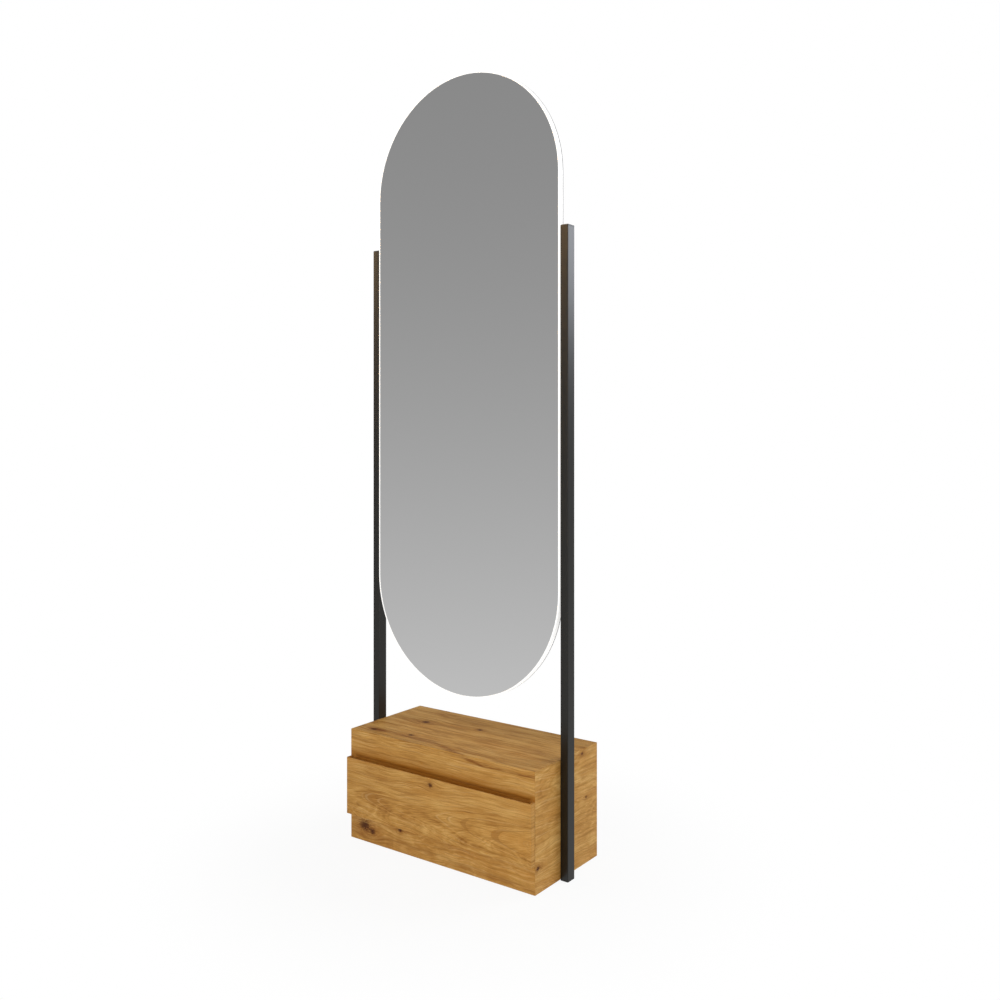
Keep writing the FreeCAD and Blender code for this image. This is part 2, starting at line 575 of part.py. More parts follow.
def build_cabinet(bolt_holes, runner_screws, driver_screws):
    """The carcass boards, with their joints and fittings."""
    splines, dowels, back_screws = carcass_fasteners()
    rebate_x = INSIDE + BACK_REBATE
    rebate_z = (FLOOR_TOP - BACK_REBATE, CEILING + BACK_REBATE)
    rebate = block((-rebate_x, rebate_x), (BACK_FACE, CARCASS_BACK), rebate_z)
    inner_front = CARCASS_FRONT + BOARD

    def level(half, front, z):
        corners = ((-half, front), (half, front), (half, CARCASS_BACK), (-half, CARCASS_BACK))
        return [FreeCAD.Vector(x, y, z) for x, y in corners]

    def upright(x, front, top):
        corners = ((front, CARCASS_BOTTOM), (CARCASS_BACK, CARCASS_BOTTOM), (CARCASS_BACK, top), (front, top))
        return [FreeCAD.Vector(x, y, z) for y, z in corners]

    def facing(half, y, bottom, top):
        corners = ((-half, bottom), (half, bottom), (half, top), (-half, top))
        return [FreeCAD.Vector(x, y, z) for x, z in corners]

    top = mitred(level(HALF_WIDTH, CARCASS_FRONT, CARCASS_TOP), level(INSIDE, inner_front, CEILING))
    save("top_panel", without(top, splines + back_screws + [rebate]))
    side = mitred(upright(HALF_WIDTH, CARCASS_FRONT, CARCASS_TOP), upright(INSIDE, inner_front, CEILING))
    side_cuts = splines + dowels + back_screws + bolt_holes + runner_screws + [rebate]
    right_side = without(side, side_cuts)
    save("right_side_panel", right_side)
    save("left_side_panel", mirrored(right_side))
    bottom = block((-INSIDE, INSIDE), (inner_front, CARCASS_BACK), (CARCASS_BOTTOM, FLOOR_TOP))
    save("bottom_panel", without(bottom, dowels + back_screws + [rebate]))
    upper_rail = mitred(facing(HALF_WIDTH, CARCASS_FRONT, OPENING_TOP, CARCASS_TOP),
                        facing(INSIDE, inner_front, OPENING_TOP, CEILING))
    save("upper_front_rail", upper_rail.cut(finger_scoop()))
    save("lower_front_rail", mitred(facing(HALF_WIDTH, CARCASS_FRONT, CARCASS_BOTTOM, OPENING_BOTTOM),
                                    facing(INSIDE, inner_front, CARCASS_BOTTOM, OPENING_BOTTOM)))
    grommet, grommet_room = grommet_parts()
    back = block((BACK_PLAY - rebate_x, rebate_x - BACK_PLAY), (BACK_FACE, CARCASS_BACK),
                 (rebate_z[0] + BACK_PLAY, rebate_z[1] - BACK_PLAY))
    save("back_panel", without(back, back_screws + driver_screws + [grommet_room]))
    save("cable_grommet", grommet)
    save("mitre_splines", *splines)
    save("bottom_dowels", *dowels)
    save_screws("back_panel_screws", BACK_SCREW, back_screws)
    glides = []
    for y in (CARCASS_FRONT + GLIDE_INSET, CARCASS_BACK - GLIDE_INSET):
        glides += pair(rod(GLIDE_DIAMETER, FreeCAD.Vector(HALF_WIDTH - GLIDE_INSET, y, 0), UP, GLIDE_HEIGHT))
    save("cabinet_glides", *glides)


def build_drawer(runner_screws):
    """The overlay front with its finger pull, and the box that runs behind it."""
    box_front = (FRONT_BACK, FRONT_BACK + BOX_BOARD)
    box_back = (BOX_BACK - BOX_BOARD, BOX_BACK)
    box_z = (BOX_BOTTOM, BOX_TOP)
    screw_heights = (BOX_BOTTOM + CORNER_SCREW_LOW, BOX_BOTTOM + CORNER_SCREW_HIGH)
    front_screws, corner_screws, bumpers = [], [], []
    for z in screw_heights:
        point = FreeCAD.Vector(BOX_INSIDE - FRONT_SCREW_END, box_front[1], z)
        front_screws += pair(screw(FRONT_SCREW, point, TO_FRONT))
        for board in (box_front, box_back):
            point = FreeCAD.Vector(BOX_HALF, sum(board) / 2, z)
            corner_screws += pair(screw(CORNER_SCREW, point, TO_LEFT))
    for z in (OPENING_BOTTOM - BUMPER_FROM_OPENING, OPENING_TOP + BUMPER_FROM_OPENING):
        start = FreeCAD.Vector(HALF_WIDTH - BUMPER_INSET, FRONT_BACK, z)
        bumpers += pair(rod(BUMPER_DIAMETER, start, TO_BACK, BUMPER_THICKNESS))
    groove = BOX_GROOVE - BOX_BOTTOM_PLAY
    bottom_z = BOX_BOTTOM + BOX_BOTTOM_RISE
    bottom = block((-BOX_INSIDE - groove, BOX_INSIDE + groove), (box_front[1] - groove, box_back[0] + groove),
                   (bottom_z, bottom_z + BOX_BOTTOM_THICKNESS))
    groove_room = block((-BOX_INSIDE - BOX_GROOVE, BOX_INSIDE + BOX_GROOVE),
                        (box_front[1] - BOX_GROOVE, box_back[0] + BOX_GROOVE),
                        (bottom_z, bottom_z + BOX_BOTTOM_THICKNESS))
    front = block((-HALF_WIDTH, HALF_WIDTH), (FRONT_FACE, FRONT_BACK), (FRONT_BOTTOM, FRONT_TOP))
    save("drawer_front", without(front, front_screws + [finger_groove()]))
    side = block((BOX_INSIDE, BOX_HALF), (FRONT_BACK, BOX_BACK), box_z)
    right_side = without(side, corner_screws + runner_screws + [groove_room])
    save("drawer_right_side", right_side)
    save("drawer_left_side", mirrored(right_side))
    cross = (-BOX_INSIDE, BOX_INSIDE)
    front_board = block(cross, box_front, box_z)
    save("drawer_box_front", without(front_board, front_screws + corner_screws + [groove_room]))
    save("drawer_back", without(block(cross, box_back, box_z), corner_screws + [groove_room]))
    save("drawer_bottom", bottom)
    save_screws("drawer_front_screws", FRONT_SCREW, front_screws)
    save_screws("drawer_corner_screws", CORNER_SCREW, corner_screws)
    save("drawer_bumpers", *bumpers)


def build_runners(parts):
    """Both runners and their screws."""
    outer, middle, inner, outer_cage, inner_cage, cabinet_screws, drawer_screws = parts
    members = (("runner_outer", [outer]), ("runner_middle", [middle]), ("runner_inner", [inner]),
               ("outer_ball_cage", outer_cage), ("inner_ball_cage", inner_cage))
    for name, solids in members:
        save("right_" + name, *solids)
        save("left_" + name, *[mirrored(solid) for solid in solids])
    screw_groups = (("runner_cabinet_screws", cabinet_screws), ("runner_drawer_screws", drawer_screws))
    for name, right_screws in screw_groups:
        save_screws(name, RUNNER_SCREW, [solid for right in right_screws for solid in pair(right)])


def build_posts(parts, bush_room):
    """Both posts with their caps, bolts, washers and rivet nuts."""
    tube, caps, bolts, washers, nuts = parts
    nut_rooms = []
    for z in POST_BOLT_HEIGHTS:
        wall = FreeCAD.Vector(HALF_WIDTH, POST_MIDDLE, z)
        nut_rooms.append(rod(RIVET_NUT_DIAMETER, wall, TO_RIGHT, POST_WALL))
    right_post = without(tube, nut_rooms + [bush_room])
    save("right_post", right_post)
    save("left_post", mirrored(right_post))
    foot, top_cap = caps
    groups = (("post_feet", [foot]), ("post_top_caps", [top_cap]), ("post_bolts", bolts),
              ("post_bolt_washers", washers), ("post_rivet_nuts", nuts))
    for name, solids in groups:
        save(name, *[solid for right in solids for solid in pair(right)])


def build_mirror(pivot):
    """The glass, the lit rim, the boards behind them and the pivots at both sides."""
    bush_room, bush, bolt, cap, washer, pivot_block, block_room, boss_room, block_screws = pivot
    screws = cover_screws()
    all_block_screws = [solid for right in block_screws for solid in pair(right)]
    save("mirror_glass", pill(RIM_BORDER + GLASS_PLAY, (MIRROR_FRONT, BACKING_FRONT)))
    rim = pill(0, (MIRROR_FRONT, COVER_FRONT)).cut(pill(RIM_BORDER, (MIRROR_FRONT, BACKING_FRONT)))
    rim = rim.cut(pill(RIM_WALL, (BACKING_FRONT, COVER_FRONT)))
    save("light_rim", without(rim, pair(boss_room)))
    strip_y = (PIVOT_Y - LED_STRIP_WIDTH / 2, PIVOT_Y + LED_STRIP_WIDTH / 2)
    strip = pill(BACKING_INSET - LED_STRIP_THICKNESS, strip_y).cut(pill(BACKING_INSET, strip_y))
    gap_z = (PIVOT_Z - LED_STRIP_GAP / 2, PIVOT_Z + LED_STRIP_GAP / 2)
    strip_gap = block((-RIM_HALF, RIM_HALF), strip_y, gap_z)
    save("led_strips", *strip.cut(strip_gap).Solids)
    backing = pill(BACKING_INSET, (BACKING_FRONT, COVER_FRONT))
    save("backing_board", without(backing, pair(block_room) + screws))
    cover = pill(0, (COVER_FRONT, COVER_BACK))
    save("back_cover", without(cover, screws + all_block_screws))
    save_screws("back_cover_screws", COVER_SCREW, screws)
    save_screws("pivot_block_screws", BLOCK_SCREW, all_block_screws)
    for name, solid in (("pivot_block", pivot_block), ("pivot_bolt", bolt), ("pivot_bush", bush)):
        save("right_" + name, solid)
        save("left_" + name, mirrored(solid))
    save("friction_washers", *pair(washer))
    save("pivot_caps", *pair(cap))


os.makedirs("parts", exist_ok=True)
runner = runner_parts()
pivot = pivot_parts()
driver, driver_screws = driver_parts()
build_cabinet(bolt_rooms(), runner[5], driver_screws)
save("led_driver", driver)
save_screws("led_driver_screws", DRIVER_SCREW, driver_screws)
build_drawer(runner[6])
build_runners(runner)
build_posts(post_parts(), pivot[0])
build_mirror(pivot)
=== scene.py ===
import json
import math

import bmesh
import bpy
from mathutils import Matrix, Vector


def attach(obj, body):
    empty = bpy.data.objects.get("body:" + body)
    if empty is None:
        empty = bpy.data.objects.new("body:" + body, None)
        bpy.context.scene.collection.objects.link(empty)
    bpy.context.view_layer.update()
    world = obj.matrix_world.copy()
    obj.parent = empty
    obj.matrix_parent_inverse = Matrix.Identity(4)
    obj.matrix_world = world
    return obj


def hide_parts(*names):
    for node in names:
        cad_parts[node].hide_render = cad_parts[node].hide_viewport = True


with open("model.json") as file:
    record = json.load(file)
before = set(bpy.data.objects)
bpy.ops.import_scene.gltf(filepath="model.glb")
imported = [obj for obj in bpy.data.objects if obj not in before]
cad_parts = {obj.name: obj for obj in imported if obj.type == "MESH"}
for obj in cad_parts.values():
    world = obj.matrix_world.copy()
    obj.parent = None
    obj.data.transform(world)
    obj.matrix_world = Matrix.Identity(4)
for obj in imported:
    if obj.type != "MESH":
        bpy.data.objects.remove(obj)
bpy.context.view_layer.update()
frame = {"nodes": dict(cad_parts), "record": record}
nodes = frame["nodes"]


# Cabinet top and upper front rail: 16 mm boards faced with knotty oak veneer and matt lacquer.
# One sheet of veneer is folded over the mitred top front edge, so a brown heart streak runs on across it.
# Loose tongues and glue hold the mitres, and the arrises are only just sanded off.
class Wire:
    """One shader socket that can stand in a formula; each operator adds a Math node."""

    def __init__(self, tree, socket):
        self.tree = tree
        self.socket = socket

    def node(self, kind, inputs, output=0, **settings):
        """Any node: inputs by name or number, settings by attribute, and the output that is wanted."""
        node = self.tree.nodes.new(kind)
        for key, value in settings.items():
            setattr(node, key, value)
        for key, value in inputs.items():
            if isinstance(value, Wire):
                self.tree.links.new(value.socket, node.inputs[key])
            else:
                node.inputs[key].default_value = value
        return Wire(self.tree, node.outputs[output])

    def maths(self, operation, *terms):
        return self.node("ShaderNodeMath", dict(enumerate(terms)), operation=operation)

    def __add__(self, other):
        return self.maths("ADD", self, other)

    def __sub__(self, other):
        return self.maths("SUBTRACT", self, other)

    def __rsub__(self, other):
        return self.maths("SUBTRACT", other, self)

    def __mul__(self, other):
        return self.maths("MULTIPLY", self, other)

    def __truediv__(self, other):
        return self.maths("DIVIDE", self, other)

    def __pow__(self, other):
        return self.maths("POWER", self, other)

    __radd__ = __add__
    __rmul__ = __mul__

    def step(self, low, high):
        """0 below low, 1 above high, smooth between."""
        return self.node("ShaderNodeMapRange", {"Value": self, "From Min": low, "From Max": high},
                         interpolation_type="SMOOTHSTEP")

    def blend(self, first, second):
        """From the first colour to the second as this value goes from 0 to 1."""
        return self.node("ShaderNodeMix", {0: self, 6: first, 7: second}, 2, data_type="RGBA")

    def noise(self, second, third, detail=2.0):
        """Noise about 0.5 with cells one unit wide in each of the three values."""
        point = self.node("ShaderNodeCombineXYZ", {0: self, 1: second, 2: third})
        return self.node("ShaderNodeTexNoise", {"Vector": point, "Scale": 1.0, "Detail": detail})


def finish(name, colour, roughness, **sockets):
    """A material with constant values; returns it and the wire of its principled shader's first output."""
    material = bpy.data.materials.new(name)
    material.use_nodes = True
    shader = material.node_tree.nodes["Principled BSDF"]
    shader.inputs["Base Color"].default_value = (*colour, 1.0)
    shader.inputs["Roughness"].default_value = roughness
    for key, value in sockets.items():
        shader.inputs[key.replace("_", " ")].default_value = value
    return material, Wire(material.node_tree, shader.outputs[0])


def drive(shader, **sockets):
    """Feeds wires to sockets of the principled shader."""
    for key, wire in sockets.items():
        shader.tree.links.new(wire.socket, shader.socket.node.inputs[key.replace("_", " ")])


def place(shader):
    """The part frame's x, y and z in millimetres."""
    point = shader.node("ShaderNodeTexCoord", {}, "Object")
    return [shader.node("ShaderNodeSeparateXYZ", {0: point}, axis) * 1000.0 for axis in "XYZ"]


def oak(name, along, across, seed, arch, knots=(), streak=None, shaded=None, figure=1.0):
    """Knotty oak veneer as a formula of place.

    u runs along the grain and v across it, each a weighted sum of x, y, z and an offset in millimetres.
    Knots push v away from themselves, and slow noise makes it wander. The square of the distance from the
    heart line, plus a small share of u, counts the growth rings, so they form long arches about that line.
    Long thin noise along u gives the fibres and pores. Figure is the strength of the dark lines and patches.
    Between two shaded heights the colour browns downwards, as painted shade above a routed recess.
    """
    light, middle, dark = (0.765, 0.460, 0.142, 1), (0.585, 0.300, 0.068, 1), (0.325, 0.126, 0.017, 1)
    amber, heart = (0.595, 0.270, 0.048, 1), (0.230, 0.070, 0.008, 1)
    # The second colour on the next line is painted shade, laid on above a routed recess.
    pale, recess_shade = (0.820, 0.560, 0.240, 1), (0.380, 0.130, 0.004, 1)
    knot_ring, knot_core = (0.270, 0.085, 0.010, 1), (0.098, 0.028, 0.003, 1)
    patch_depth, line_depth, straight_depth = 0.9 * figure, 0.45 * figure, 0.32 * figure
    amber_depth, ray_depth, pore_depth, halo_depth, recess_shade_depth = 0.5, 0.25, 0.4, 0.85, 0.75
    material, shader = finish(name, middle[:3], 0.5, Specular_IOR_Level=0.2)
    spot = place(shader)
    u, v = [sum((axis * weight for axis, weight in zip(spot, terms) if weight), terms[3])
            for terms in (along, across)]
    bent = v
    cores, halos = [], []
    for knot_u, knot_v, size in knots:
        du = (u - knot_u) / size
        dv = (v - knot_v) / size
        near = shader.maths("EXPONENT", (du * du / 20.0 + dv * dv / 6.0) * -1.0)
        bent = bent - (v - knot_v) * near * 0.8
        edge = (du * du * 0.55 + dv * dv) ** 0.5 + ((u / 5.0).noise(v / 3.0, seed) - 0.5) * 1.8
        cores.append(1.0 - edge.step(0.25, 1.35))
        halos.append(near * near * (u / 14.0).noise(v / 3.0, seed + 2.0).step(0.25, 0.70))
    wander = ((u / 190.0).noise(bent / 70.0, seed, 1.0) - 0.5) * 30.0
    wander = wander + ((u / 55.0).noise(bent / 22.0, seed + 4.0, 1.0) - 0.5) * 7.0
    heart_v, spread, tilt = arch
    off_heart = bent + wander - heart_v
    rings = off_heart * off_heart / spread + u * tilt
    bands = (rings / 6.0).noise(u / 380.0, seed + 8.0, 3.0)
    fibres = (rings / 1.6 + bent / 2.2).noise(u / 70.0, seed + 12.0, 3.0)
    flecks = (u / 34.0).noise(bent / 2.4 + rings / 3.0, seed + 14.0, 2.0)
    patches = (u / 130.0).noise(v / 36.0, seed + 16.0, 2.0)
    lines = (rings / 3.4).noise(u / 130.0, seed + 18.0, 1.0).step(0.60, 0.64)
    tone = bands * 0.55 + fibres * 0.65 + flecks * 0.5 + patches * 0.55 - 0.625
    colour = tone.step(0.24, 0.56).blend(light, middle)
    warm = (u / 230.0).noise(v / 50.0, seed + 28.0).step(0.46, 0.72)
    colour = (warm * amber_depth).blend(colour, amber)
    colour = (tone.step(0.50, 0.80) * patch_depth).blend(colour, dark)
    colour = (lines * line_depth).blend(colour, dark)
    straight = (bent / 4.5).noise(u / 240.0, seed + 22.0, 2.0).step(0.54, 0.64)
    colour = (straight * straight_depth).blend(colour, dark)
    rays = (rings / 2.2).noise(u / 170.0, seed + 30.0, 1.0).step(0.58, 0.66)
    colour = (rays * ray_depth).blend(colour, pale)
    pores = (u / 11.0).noise(v / 0.6 + rings / 2.0, seed + 20.0, 1.0).step(0.58, 0.70)
    colour = (pores * pore_depth).blend(colour, dark)
    if streak:
        left_v, right_v, left_u, right_u, left_width, right_width, depth = streak
        along_it = u.step(left_u, right_u)
        width = left_width + along_it * (right_width - left_width)
        off = (bent + wander * 0.4 - left_v + along_it * (left_v - right_v)) / width
        broken = (u / 50.0).noise(bent / 5.0, seed + 24.0).step(0.25, 0.75)
        colour = (shader.maths("EXPONENT", off * off * -1.0) * broken * depth).blend(colour, heart)
    for halo in halos:
        colour = (halo * halo_depth).blend(colour, knot_ring)
    for core in cores:
        colour = core.blend(colour, knot_core)
    # Painted shade: the wood darkens downwards between the two shaded heights, above the recess.
    if shaded:
        colour = ((1.0 - spot[2].step(*shaded)) * recess_shade_depth).blend(colour, recess_shade)
    bump = shader.node("ShaderNodeBump", {"Strength": 0.25, "Distance": 0.0004,
                                          "Height": 1.0 - pores * 0.6 - fibres * 0.4})
    drive(shader, Base_Color=colour, Roughness=0.48 + tone * 0.12, Normal=bump)
    return material


def eased(name, material, width):
    """A copy of a CAD piece with its long sharp edges rounded; it is shown in that piece's stead."""
    source = nodes[name]
    mesh = source.data.copy()
    work = bmesh.new()
    work.from_mesh(mesh)
    bmesh.ops.remove_doubles(work, verts=work.verts, dist=1e-6)
    bmesh.ops.dissolve_limit(work, angle_limit=math.radians(0.5), verts=work.verts, edges=work.edges)
    weights = work.edges.layers.float.new("bevel_weight_edge")
    for edge in work.edges:
        sharp = len(edge.link_faces) == 2 and edge.calc_face_angle(0.0) > SHARP
        edge[weights] = 1.0 if sharp and edge.calc_length() > 8 * width else 0.0
    work.to_mesh(mesh)
    work.free()
    mesh.shade_smooth()
    mesh.set_sharp_from_angle(angle=SHARP)
    mesh.materials.clear()
    mesh.materials.append(material)
    piece = bpy.data.objects.new(name + "_eased", mesh)
    bpy.context.scene.collection.objects.link(piece)
    bevel = piece.modifiers.new("eased_edges", "BEVEL")
    bevel.limit_method = "WEIGHT"
    bevel.width = width
    bevel.segments = 2
    bevel.use_clamp_overlap = False
    bevel.harden_normals = True
    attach(piece, node_body[name])
    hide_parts(name)


def coat(material, *names):
    """Gives CAD pieces a material."""
    for name in names:
        mesh = nodes[name].data
        mesh.materials.clear()
        mesh.materials.append(material)


node_body = {name: body for body, names in frame["record"]["behaviour"]["bodies"].items() for name in names}
ARRIS = 0.0006
SHARP = math.radians(25)
folded = ((1, 0, 0, 0), (0, 1, 1, -160.5), 3.0, (-360.0, 760.0, 0.01),
          ((-246.0, 32.0, 8.0), (-130.0, 49.0, 6.0), (-10.0, 193.0, 6.5), (-176.0, 165.0, 9.0)),
          (36.0, -15.0, -70.0, 150.0, 12.0, 4.0, 1.1))
eased("top_panel", oak("oak_top", *folded, figure=1.6), ARRIS)
# Heights in millimetres between which the upper rail's colour darkens downwards: painted shade above the
# drawer's finger pull.
RECESS_SHADE_HEIGHTS = (224.0, 254.0)
eased("upper_front_rail", oak("oak_upper_rail", *folded, shaded=RECESS_SHADE_HEIGHTS), ARRIS)


# Lower front rail and the two sides: boards of the same make, mitred to the top and to each other.
# The rail's veneer is the knottiest piece, and the sides' grain lies level and waves a little.
rail_oak = oak("oak_rail", (1, 0, 0, 0), (0, 0, 1, 0), 37.0, (240.0, 380.0, 0.02),
               ((-249.0, 44.0, 15.0), (-124.0, 60.0, 6.0), (-222.0, 34.0, 8.0)),
               (32.0, 18.0, -140.0, 140.0, 7.0, 6.0, 0.45), figure=0.7)
eased("lower_front_rail", rail_oak, ARRIS)
right_oak = oak("oak_right", (0, 1, 0, 0), (0, 0, 1, 0), 57.0, (430.0, 520.0, -0.06),
                ((-122.0, 62.0, 6.0), (77.0, 284.0, 3.5), (96.0, 169.0, 3.0)), figure=0.65)
eased("right_side_panel", right_oak, ARRIS)
left_oak = oak("oak_left", (0, 1, 0, 0), (0, 0, 1, 0), 83.0, (-120.0, 520.0, 0.06),
               ((40.0, 90.0, 6.0), (-60.0, 210.0, 5.0)), figure=0.5)
eased("left_side_panel", left_oak, ARRIS)


# Bottom board and back panel: fibreboard faced with a plain oak-look foil, with no knots.
# The bottom is dowelled between the sides, and the back lies in a rebate under eight screws.
def foil(name, along, across, colour, depth):
    """Printed foil: level streaks of one colour, lighter and darker by noise drawn out along the grain."""
    material, shader = finish(name, colour, 0.5)
    spot = place(shader)
    streaks = (spot[along] / 260.0).noise(spot[across] / 7.0, 5.0, 3.0)
    fine = (spot[along] / 60.0).noise(spot[across] / 1.2, 9.0, 1.0)
    darker = (*[part * depth for part in colour], 1.0)
    lighter = (*[min(part * (2.0 - depth), 1.0) for part in colour], 1.0)
    drive(shader, Base_Color=(streaks * 0.7 + fine * 0.3).step(0.3, 0.7).blend(darker, lighter))
    return material


X, Y, Z = range(3)
board_colour = (0.400, 0.235, 0.085)
coat(foil("foil_bottom", X, Y, board_colour, 0.80), "bottom_panel")
coat(foil("foil_back", X, Z, board_colour, 0.80), "back_panel")


# Joints and fittings of the carcass: beech tongues and dowels, zinc-plated screws, a black cable
# grommet pressed into the back panel, clear glides under the corners and the white lighting driver.
def grained(name, colour, roughness, cell, lengths=(1.0, 1.0, 1.0), **sockets):
    """A finish with a fine grain.

    Noise with cells of a few tenths of a millimetre or more makes the surface duller and shinier, and
    slower noise makes it darker and lighter. The cells are drawn out along x, y and z by the three lengths.
    """
    material, shader = finish(name, colour, roughness, **sockets)
    x, y, z = [axis / (cell * length) for axis, length in zip(place(shader), lengths)]
    grain = x.noise(y, z, 2.0)
    cloud = (x / 12.0).noise(y / 12.0, z / 12.0, 2.0)
    darker, lighter = [(*[min(part * share, 1.0) for part in colour], 1.0) for share in (0.84, 1.12)]
    bump = shader.node("ShaderNodeBump", {"Strength": 0.10, "Distance": 0.0002, "Height": grain})
    drive(shader, Base_Color=(grain * 0.5 + cloud * 0.5).step(0.3, 0.7).blend(darker, lighter),
          Roughness=grain * 0.20 + (roughness - 0.10), Normal=bump)
    return material


beech_colour = (0.550, 0.360, 0.180)
coat(foil("beech_tongues", Y, Z, beech_colour, 0.85), "mitre_splines")
coat(foil("beech_dowels", X, Z, beech_colour, 0.85), "bottom_dowels")
zinc = grained("zinc_plate", (0.600, 0.600, 0.590), 0.32, 0.8, Metallic=1.0)
coat(zinc, "back_panel_screws", "led_driver_screws")
moulding = grained("black_moulding", (0.014, 0.013, 0.012), 0.45, 0.5)
coat(moulding, "cable_grommet")
soft_dots = grained("clear_rubber", (0.700, 0.700, 0.680), 0.45, 1.5)
coat(soft_dots, "cabinet_glides")
coat(grained("driver_case", (0.800, 0.800, 0.780), 0.45, 0.5), "led_driver")


# Drawer front: a solid-edged veneered board laid over the opening, with a finger pull routed into its
# top edge behind a thin lip. It is screwed on from inside the box and closes on clear soft dots.
front_oak = oak("oak_front", (1, 0, 0, 0), (0, 0, 1, 0), 12.0, (128.0, 75.0, -0.10),
                ((-8.5, 205.0, 5.5),))
eased("drawer_front", front_oak, ARRIS)
coat(soft_dots, "drawer_bumpers")


# Drawer box: 12 mm boards in a plain pale oak foil, screwed at the corners, with a bottom in grooves.
box_colour = (0.520, 0.340, 0.150)
side_foil = foil("foil_box_sides", Y, Z, box_colour, 0.86)
end_foil = foil("foil_box_ends", X, Z, box_colour, 0.86)
for board, board_foil in (("drawer_left_side", side_foil), ("drawer_right_side", side_foil),
                          ("drawer_box_front", end_foil), ("drawer_back", end_foil)):
    eased(board, board_foil, ARRIS)
coat(foil("foil_box_bottom", X, Y, box_colour, 0.86), "drawer_bottom")
coat(zinc, "drawer_front_screws", "drawer_corner_screws")


# Runners: three nested channels pressed from bright zinc-plated sheet, with balls in thin cages
# between them. The outer member is screwed to the cabinet and the inner one to the drawer.
runner_zinc = grained("runner_zinc", (0.580, 0.590, 0.600), 0.28, 0.6, (1.0, 60.0, 1.0), Metallic=1.0)
BEND = 0.0005
for side in ("left_", "right_"):
    for member in ("runner_outer", "runner_middle", "runner_inner"):
        eased(side + member, runner_zinc, BEND)
    coat(runner_zinc, side + "outer_ball_cage", side + "inner_ball_cage")
coat(zinc, "runner_cabinet_screws", "runner_drawer_screws")


# Posts: rectangular steel tube with a brown-black satin powder coat, closed by moulded plugs.
# Bolts from inside the cabinet pull them against its sides, in rivet nuts set in the tube.
CAP_ARRIS = 0.0005
paint, paint_shader = finish("black_paint", (0.0075, 0.0070, 0.0050), 0.36)
PEEL_CELL = 1.1
x, y, z = [axis / PEEL_CELL for axis in place(paint_shader)]
peel = x.noise(y, z, 2.0)
drive(paint_shader, Roughness=0.35 + peel * 0.03,
      Normal=paint_shader.node("ShaderNodeBump", {"Strength": 0.03, "Distance": 0.0003, "Height": peel}))
for post in ("left_post", "right_post"):
    eased(post, paint, CAP_ARRIS)
for cap in ("post_feet", "post_top_caps"):
    eased(cap, moulding, CAP_ARRIS)
coat(zinc, "post_bolts", "post_bolt_washers", "post_rivet_nuts")


# Pivots: black bolts with a sunk hexagon head turn in black bushes through each post, under flush caps.
# White nylon washers rub against the rim, and aluminium blocks behind the glass take the threads.
oxide = grained("black_oxide", (0.014, 0.013, 0.012), 0.38, 0.6)
coat(oxide, "left_pivot_bolt", "right_pivot_bolt")
coat(paint, "left_pivot_bush", "right_pivot_bush", "pivot_caps")
coat(grained("white_nylon", (0.850, 0.850, 0.830), 0.45, 0.8), "friction_washers")
aluminium = grained("pivot_aluminium", (0.700, 0.710, 0.720), 0.35, 0.5, (1.0, 1.0, 40.0), Metallic=1.0)
coat(aluminium, "left_pivot_block", "right_pivot_block")


# Mirror: silvered float glass in the front opening of a lit opal rim.
# Light strips round the backing board shine into the rim, and a black cover closes the back.
COVER_ARRIS = 0.0003
glass, glass_shader = finish("silvered_glass", (0.905, 0.905, 0.905), 0.012, Metallic=1.0)
x, y, z = place(glass_shader)
drive(glass_shader, Roughness=(x / 90.0).noise(y, z / 90.0, 3.0) * 0.008 + 0.008)
coat(glass, "mirror_glass")
opal = grained("opal_acrylic", (0.600, 0.600, 0.595), 0.35, 1.0, Emission_Color=(1.0, 0.99, 0.97, 1.0),
               Emission_Strength=0.66, Specular_IOR_Level=0.1)
eased("light_rim", opal, ARRIS)
CHIP_PITCH = 10.0
tape_white, chip_yellow = (0.900, 0.880, 0.840), (0.900, 0.700, 0.200)
tape, tape_shader = finish("led_tape", tape_white, 0.5, Emission_Color=(1.0, 0.97, 0.92, 1.0),
                           Emission_Strength=3.0)
height = place(tape_shader)[Z]
chips = tape_shader.maths("SINE", height * (2.0 * math.pi / CHIP_PITCH)).step(0.3, 0.5)
drive(tape_shader, Base_Color=chips.blend((*tape_white, 1.0), (*chip_yellow, 1.0)))
coat(tape, "led_strips")
coat(grained("backing_fibreboard", (0.330, 0.225, 0.130), 0.7, 1.2), "backing_board")
cover = grained("black_cover", (0.022, 0.022, 0.023), 0.6, 1.0, Specular_IOR_Level=0.25)
eased("back_cover", cover, COVER_ARRIS)
coat(oxide, "back_cover_screws", "pivot_block_screws")


# Stage: white ground and surround for the camera; the mirror and the paint see a softly graded room.
# Two narrow warm lamps give the painted posts their brown sheen towards the top.
stage_world = bpy.data.worlds.new("room")
bpy.context.scene.world = stage_world
stage_world.use_nodes = True
tree = stage_world.node_tree
background = tree.nodes["Background"]
room = Wire(tree, background.outputs[0])
direction = room.node("ShaderNodeTexCoord", {}, "Generated")
up = room.node("ShaderNodeSeparateXYZ", {0: direction}, "Z")
STEEPEST = 0.4
up = room.maths("MINIMUM", room.maths("MAXIMUM", up, -STEEPEST), STEEPEST)
graded = 0.388 - up * 0.53 + up * up * 0.6
seen = room.node("ShaderNodeLightPath", {}, "Is Camera Ray")
glossy = room.node("ShaderNodeLightPath", {}, "Is Glossy Ray")
ambient = 0.84 - up * 0.95
level = ambient + (graded - ambient) * glossy
level = level + (1.0 - level) * seen
tree.links.new(level.socket, background.inputs["Strength"])
background.inputs["Color"].default_value = (1.0, 1.0, 1.0, 1.0)

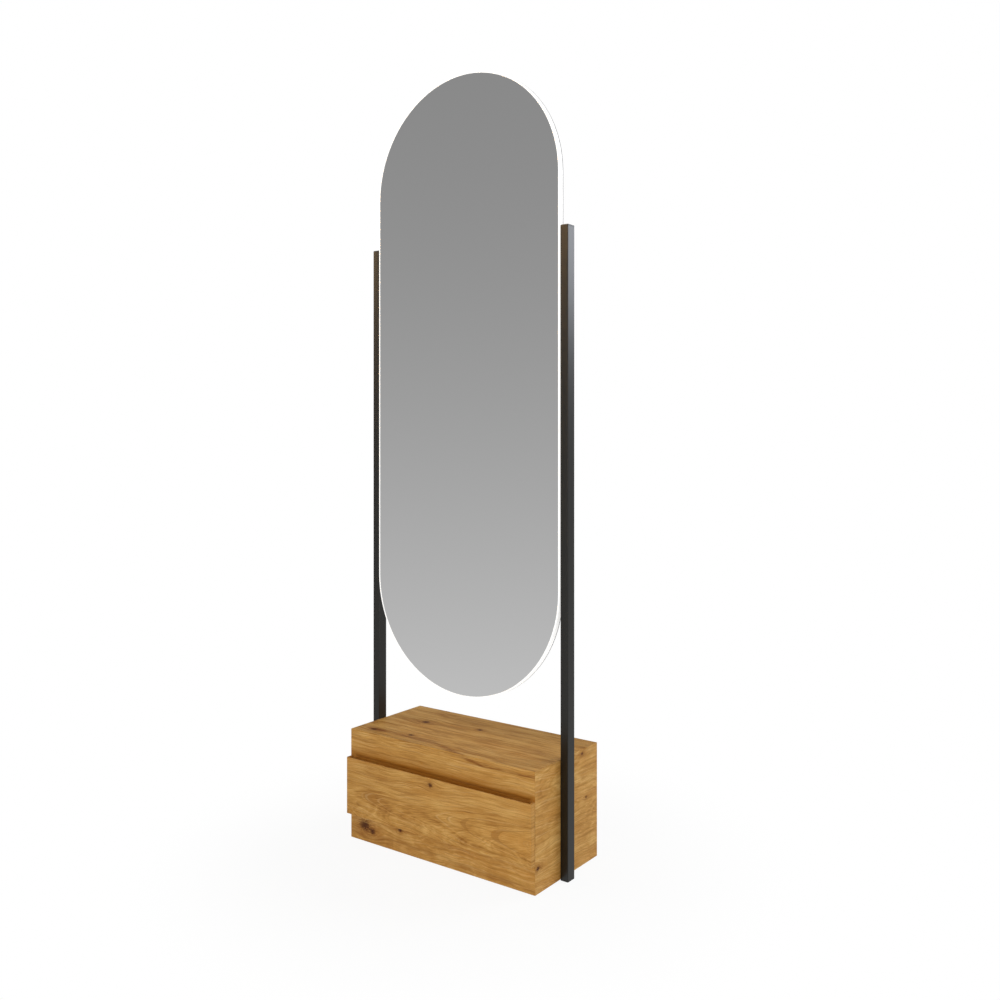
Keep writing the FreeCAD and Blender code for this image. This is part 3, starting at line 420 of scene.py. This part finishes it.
GROUND_HALF = 4.0
SHADOW_NEAR, SHADOW_FAR, SHADOW_DEPTH = 350.0, 900.0, 0.08
ground_mesh = bpy.data.meshes.new("ground")
corners = [(x * GROUND_HALF, y * GROUND_HALF, 0) for x, y in ((-1, -1), (1, -1), (1, 1), (-1, 1))]
ground_mesh.from_pydata(corners, [], [(0, 1, 2, 3)])
ground = bpy.data.objects.new("ground", ground_mesh)
bpy.context.scene.collection.objects.link(ground)
ground_finish, ground_shader = finish("ground", (0.95, 0.95, 0.95), 0.9, Specular_IOR_Level=0.0)
white = ground_shader.node("ShaderNodeEmission", {"Strength": 1.0})
clear = ground_shader.node("ShaderNodeBsdfTransparent", {})
camera_ray = ground_shader.node("ShaderNodeLightPath", {}, "Is Camera Ray")
glossy_ray = ground_shader.node("ShaderNodeLightPath", {}, "Is Glossy Ray")
x, y, z = place(ground_shader)
far = ((x * x + y * y) ** 0.5).step(SHADOW_NEAR, SHADOW_FAR)
paleness = camera_ray * (1.0 - SHADOW_DEPTH + far * SHADOW_DEPTH)
look = ground_shader.node("ShaderNodeMixShader", {0: paleness, 1: ground_shader, 2: white})
look = ground_shader.node("ShaderNodeMixShader", {0: glossy_ray, 1: look, 2: clear})
output = ground_finish.node_tree.nodes["Material Output"]
ground_finish.node_tree.links.new(look.socket, output.inputs["Surface"])
ground_mesh.materials.append(ground_finish)


def softbox(name, place_at, look_at, size, watts, colour, spread=180.0):
    """A rectangular lamp that faces a point and is not seen itself; a grid may narrow its beam."""
    data = bpy.data.lights.new(name, "AREA")
    data.shape = "RECTANGLE"
    data.size, data.size_y = size
    data.energy = watts
    data.color = colour
    data.spread = math.radians(spread)
    lamp = bpy.data.objects.new(name, data)
    lamp.location = place_at
    lamp.rotation_euler = (Vector(look_at) - Vector(place_at)).to_track_quat("-Z", "Y").to_euler()
    lamp.visible_camera = False
    bpy.context.scene.collection.objects.link(lamp)


GRID = 40.0
softbox("back_right_box", (1.92, 2.54, 2.45), (0.3, 0.0, 1.3), (2.0, 1.5), 50.0, (0.94, 0.98, 1.06))
softbox("right_post_box", (-0.45, -1.6, 2.5), (0.2, 0.0, 1.5), (0.4, 0.4), 1.4, (1.0, 0.58, 0.22), GRID)
softbox("left_post_box", (-2.75, -1.6, 2.7), (-0.3, 0.0, 1.6), (1.5, 1.5), 2.4, (1.0, 0.64, 0.30), GRID)
softbox("front_box", (0.9, -3.0, 1.4), (0.0, 0.0, 0.5), (2.5, 2.0), 22.0, (1.0, 0.99, 0.97))

camera_data = bpy.data.cameras.new("photograph")
camera_data.sensor_width = 36.0
camera_data.lens = 36.741
camera_data.shift_y = -0.0682
camera = bpy.data.objects.new("photograph", camera_data)
camera.location = (1.6508, -2.1254, 1.0960)
camera.rotation_euler = (math.radians(90.0), 0.0, math.radians(36.12))
bpy.context.scene.collection.objects.link(camera)
bpy.context.scene.camera = camera
bpy.context.scene.view_settings.view_transform = "Standard"
